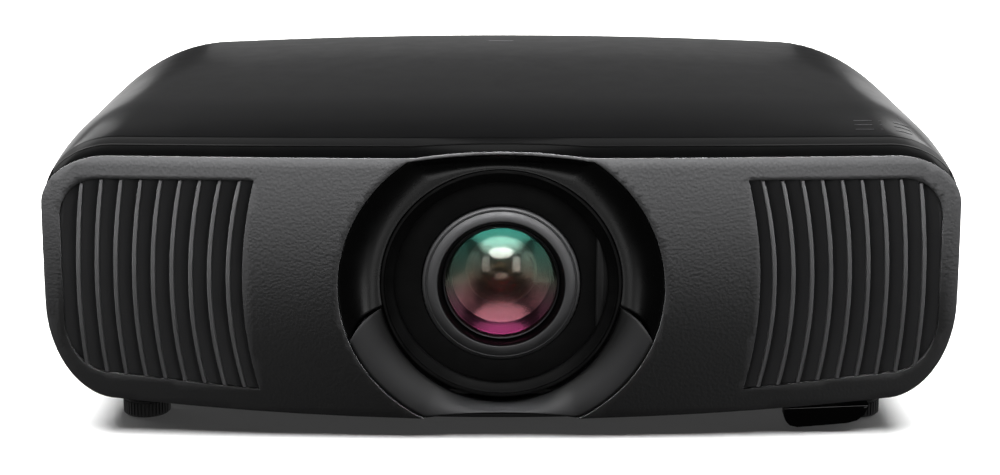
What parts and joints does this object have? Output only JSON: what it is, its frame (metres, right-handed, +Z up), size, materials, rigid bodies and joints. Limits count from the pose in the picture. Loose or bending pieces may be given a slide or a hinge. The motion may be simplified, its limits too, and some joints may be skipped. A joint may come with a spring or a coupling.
{
  "type": "home projector",
  "caption": "Home-cinema laser projector: domed casing, curved front vents, recessed lens with powered shutter, shift carriages, side keys, filter drawer and screw feet.",
  "frame": {"origin": "under the middle of the body, on the surface the feet stand on", "axes": "+Z up; the front with the lens faces -Y; +X to the right seen from the front"},
  "size_m": [0.5203, 0.4455, 0.2035],
  "materials": {
    "lid": "satin black, fine moulded sheen",
    "base": "fine texture",
    "fascia": "fine leather-like texture, dark graphite",
    "vent": "fine texture",
    "gloss": "piano black",
    "satin": "satin",
    "chin": "satin graphite",
    "shutter": "matt black",
    "nylon": "matt",
    "ring": "turned and anodised gunmetal",
    "mask": "light-absorbing matt black",
    "barrel": "black anodised",
    "glass": "multi-coated",
    "diecast": "die-cast",
    "steel": "ground",
    "panel": "matt",
    "phosphor": "coated disc",
    "finned": "extruded",
    "board": "solder-masked board",
    "fan": "matt",
    "button": "satin",
    "filter": "pleated filter medium",
    "socket": "nickel-plated shell",
    "window": "infrared-dark smoke, polished",
    "rubber": "matt"
  },
  "bodies": {
    "chassis": {"top_cover": "lid", "front_brow": "lid", "base_pan": "base", "rear_panel": "base", "front_fascia": "fascia", "left_vent": "vent", "right_vent": "vent", "lens_well_funnel": "gloss", "control_panel": "gloss", "terminal_plate": "gloss", "lens_well_ring": "satin", "chin_panel": "chin", "remote_window": "window", "shutter_rail_lower": "nylon", "shutter_rail_upper": "nylon", "lens_mount_frame": "diecast", "engine_housing": "diecast", "prism_block": "glass", "green_panel": "panel", "red_panel": "panel", "blue_panel": "panel", "laser_module": "finned", "heat_sink": "finned", "exhaust_fan_frame": "fan", "intake_fan_frame": "fan", "power_board": "board", "main_board": "board", "hdmi_socket_1": "socket", "hdmi_socket_2": "socket", "network_socket": "socket", "power_inlet": "nylon", "rear_foot_left": "rubber", "rear_foot_right": "rubber"},
    "shutter": {"lens_shutter": "shutter"},
    "shutter_drive": {"shutter_pinion": "nylon"},
    "horizontal_shift": {"horizontal_carriage": "diecast"},
    "vertical_shift": {"vertical_carriage": "diecast", "lens_mask": "mask", "lens_face_ring": "ring", "lens_barrel": "barrel"},
    "horizontal_screw": {"horizontal_lead_screw": "steel"},
    "vertical_screw": {"vertical_lead_screw": "steel"},
    "focus": {"focus_ring": "nylon"},
    "zoom": {"zoom_ring": "nylon"},
    "front_cell": {"front_lens_cell": "barrel", "front_lens_element": "glass"},
    "power_key": {"power_button": "button"},
    "menu_key": {"menu_button": "button"},
    "enter_key": {"enter_button": "button"},
    "navigation_key": {"navigation_ring": "button"},
    "filter_drawer": {"filter_cover": "lid", "air_filter": "filter"},
    "left_foot": {"foot_post_left": "steel"},
    "left_foot_disc": {"front_foot_left": "rubber"},
    "right_foot": {"foot_post_right": "steel"},
    "right_foot_disc": {"front_foot_right": "rubber"},
    "exhaust_rotor": {"exhaust_fan_impeller": "fan"},
    "intake_rotor": {"intake_fan_impeller": "fan"},
    "wheel_rotor": {"phosphor_wheel": "phosphor"}
  },
  "joints": [
    {"name": "shutter_slide", "type": "slide", "parent": "chassis", "child": "shutter", "axis": [-1, 0, 0], "range_m": [0, 0.116]},
    {"name": "shutter_pinion_turn", "type": "hinge", "parent": "chassis", "child": "shutter_drive", "pos_m": [0.0604, -0.2013, 0.16233], "axis": [0, 1, 0], "range_deg": [0, 936.1]},
    {"name": "horizontal_lens_shift", "type": "slide", "parent": "chassis", "child": "horizontal_shift", "axis": [1, 0, 0], "range_m": [-0.0075, 0.0075]},
    {"name": "horizontal_screw_turn", "type": "hinge", "parent": "chassis", "child": "horizontal_screw", "pos_m": [0, -0.15, 0.154], "axis": [1, 0, 0], "range_deg": [-1360, 1360]},
    {"name": "vertical_lens_shift", "type": "slide", "parent": "horizontal_shift", "child": "vertical_shift", "axis": [0, 0, 1], "range_m": [-0.008, 0.008]},
    {"name": "vertical_screw_turn", "type": "hinge", "parent": "horizontal_shift", "child": "vertical_screw", "pos_m": [0.067, -0.1595, 0.09], "axis": [0, 0, 1], "range_deg": [-1450, 1450]},
    {"name": "focus_turn", "type": "hinge", "parent": "vertical_shift", "child": "focus", "pos_m": [0, -0.1735, 0.087], "axis": [0, 1, 0], "range_deg": [-60, 60]},
    {"name": "front_cell_travel", "type": "slide", "parent": "vertical_shift", "child": "front_cell", "axis": [0, -1, 0], "range_m": [-0.00101, 0.00101]},
    {"name": "zoom_turn", "type": "hinge", "parent": "vertical_shift", "child": "zoom", "pos_m": [0, -0.1735, 0.087], "axis": [0, 1, 0], "range_deg": [-70, 70]},
    {"name": "power_press", "type": "slide", "parent": "chassis", "child": "power_key", "axis": [1, 0, 0], "range_m": [0, 0.001], "stiffness_N_per_m": 300, "springref_m": -0.0005},
    {"name": "menu_press", "type": "slide", "parent": "chassis", "child": "menu_key", "axis": [1, 0, 0], "range_m": [0, 0.001], "stiffness_N_per_m": 300, "springref_m": -0.0005},
    {"name": "enter_press", "type": "slide", "parent": "chassis", "child": "enter_key", "axis": [1, 0, 0], "range_m": [0, 0.001], "stiffness_N_per_m": 300, "springref_m": -0.0005},
    {"name": "navigation_press", "type": "slide", "parent": "chassis", "child": "navigation_key", "axis": [1, 0, 0], "range_m": [0, 0.001], "stiffness_N_per_m": 300, "springref_m": -0.0005},
    {"name": "filter_slide", "type": "slide", "parent": "chassis", "child": "filter_drawer", "axis": [1, 0, 0], "range_m": [0, 0.06]},
    {"name": "left_foot_height", "type": "slide", "parent": "chassis", "child": "left_foot", "axis": [0, 0, -1], "range_m": [0, 0.02]},
    {"name": "left_foot_turn", "type": "hinge", "parent": "left_foot", "child": "left_foot_disc", "pos_m": [-0.2125, -0.1655, 0.005], "axis": [0, 0, 1], "range_deg": [0, 4810]},
    {"name": "right_foot_height", "type": "slide", "parent": "chassis", "child": "right_foot", "axis": [0, 0, -1], "range_m": [0, 0.02]},
    {"name": "right_foot_turn", "type": "hinge", "parent": "right_foot", "child": "right_foot_disc", "pos_m": [0.2125, -0.1655, 0.005], "axis": [0, 0, 1], "range_deg": [0, 4810]},
    {"name": "exhaust_fan_spin", "type": "hinge", "parent": "chassis", "child": "exhaust_rotor", "pos_m": [-0.193, -0.185, 0.09], "axis": [0, 1, 0], "continuous": true},
    {"name": "intake_fan_spin", "type": "hinge", "parent": "chassis", "child": "intake_rotor", "pos_m": [0.193, -0.185, 0.09], "axis": [0, 1, 0], "continuous": true},
    {"name": "phosphor_wheel_spin", "type": "hinge", "parent": "chassis", "child": "wheel_rotor", "pos_m": [-0.06, 0.0072, 0.08], "axis": [0, 1, 0], "continuous": true}
  ],
  "couplings": [
    {"joint": "shutter_pinion_turn", "follows": "shutter_slide", "rad_per_m": 140.25},
    {"joint": "horizontal_screw_turn", "follows": "horizontal_lens_shift", "rad_per_m": 3141.6},
    {"joint": "vertical_screw_turn", "follows": "vertical_lens_shift", "rad_per_m": 3141.6},
    {"joint": "front_cell_travel", "follows": "focus_turn", "m_per_rad": 0.0009549},
    {"joint": "left_foot_turn", "follows": "left_foot_height", "rad_per_m": 4188.8},
    {"joint": "right_foot_turn", "follows": "right_foot_height", "rad_per_m": 4188.8}
  ]
}
